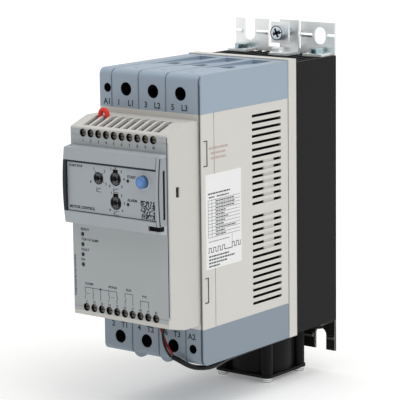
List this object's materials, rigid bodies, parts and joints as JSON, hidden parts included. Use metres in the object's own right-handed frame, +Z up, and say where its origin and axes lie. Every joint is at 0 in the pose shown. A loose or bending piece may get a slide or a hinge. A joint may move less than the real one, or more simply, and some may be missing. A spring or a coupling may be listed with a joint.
{
  "type": "soft starter",
  "caption": "Panel-mount three-phase motor soft starter with finned heat sink, fan, terminal covers, control module with setting dials and fixing brackets.",
  "frame": {"origin": "middle of the heat sink's rear plane, which lies on the mounting panel", "axes": "+X to the right seen from the front, +Y into the panel, +Z up"},
  "size_m": [0.0758, 0.1735, 0.2215],
  "materials": {
    "pale_plastic": "fine moulded grain",
    "blue_grey_plastic": "fine moulded grain",
    "grey_plastic": "fine moulded grain",
    "dark_plastic": "matt",
    "relay_plastic": "matt",
    "blue_button": "glossy",
    "light_pipe": "clear, glossy",
    "board": "solder resist",
    "black_anodised": "matt black anodised",
    "black_plastic": "semi-matt",
    "zinc": "bright zinc plated",
    "copper": "plain",
    "red_insulation": "smooth",
    "black_insulation": "smooth"
  },
  "bodies": {
    "starter": {"base_frame": "pale_plastic", "rear_housing": "pale_plastic", "front_housing": "pale_plastic", "module_housing": "pale_plastic", "line_cover": "blue_grey_plastic", "load_cover": "blue_grey_plastic", "module_panel": "grey_plastic", "thyristor_blocks": "dark_plastic", "board_link": "dark_plastic", "upper_terminals": "dark_plastic", "lower_terminals": "dark_plastic", "trimmers": "dark_plastic", "reset_switch": "dark_plastic", "mode_switches": "dark_plastic", "bypass_relays": "relay_plastic", "status_lights": "light_pipe", "power_board": "board", "control_board": "board", "heat_sink": "black_anodised", "fan_frame": "black_plastic", "line_clamps": "zinc", "load_clamps": "zinc", "line_clamp_screws": "zinc", "load_clamp_screws": "zinc", "supply_clamps": "zinc", "supply_screws": "zinc", "upper_terminal_screws": "zinc", "lower_terminal_screws": "zinc", "fan_screws": "zinc", "top_bracket": "zinc", "bottom_bracket": "zinc", "bracket_screws": "zinc", "earth_bracket": "zinc", "earth_plate": "zinc", "earth_screw": "zinc", "earth_nut": "zinc", "earth_foot_screw": "zinc", "line_bars": "copper", "load_bars": "copper", "jumper_link": "red_insulation", "fan_wire_red": "red_insulation", "fan_wire_black": "black_insulation", "fan_sleeve": "black_insulation"},
    "settings_cover": {"settings_cover": "grey_plastic"},
    "reset_button": {"reset_button": "blue_button"},
    "dial_left": {"dial_left": "dark_plastic"},
    "dial_upper": {"dial_upper": "dark_plastic"},
    "dial_lower": {"dial_lower": "dark_plastic"},
    "fan_rotor": {"fan_rotor": "black_plastic"}
  },
  "joints": [
    {"name": "cover_hinge", "type": "hinge", "parent": "starter", "child": "settings_cover", "pos_m": [-0.0334, -0.1668, 0.0207], "axis": [0, 0, -1], "range_deg": [0, 95]},
    {"name": "reset_press", "type": "slide", "parent": "settings_cover", "child": "reset_button", "axis": [0, 1, 0], "range_m": [0, 0.001], "stiffness_N_per_m": 800, "springref_m": -0.001},
    {"name": "dial_left_turn", "type": "hinge", "parent": "starter", "child": "dial_left", "pos_m": [-0.0096, -0.1653, 0.0267], "axis": [0, -1, 0], "range_deg": [-135, 135]},
    {"name": "dial_upper_turn", "type": "hinge", "parent": "starter", "child": "dial_upper", "pos_m": [0.0031, -0.1653, 0.0275], "axis": [0, -1, 0], "range_deg": [-135, 135]},
    {"name": "dial_lower_turn", "type": "hinge", "parent": "starter", "child": "dial_lower", "pos_m": [0.0031, -0.1653, 0.0137], "axis": [0, -1, 0], "range_deg": [-135, 135]},
    {"name": "fan_spin", "type": "hinge", "parent": "starter", "child": "fan_rotor", "pos_m": [0, -0.0287, -0.0968], "axis": [0, 0, 1], "continuous": true}
  ]
}
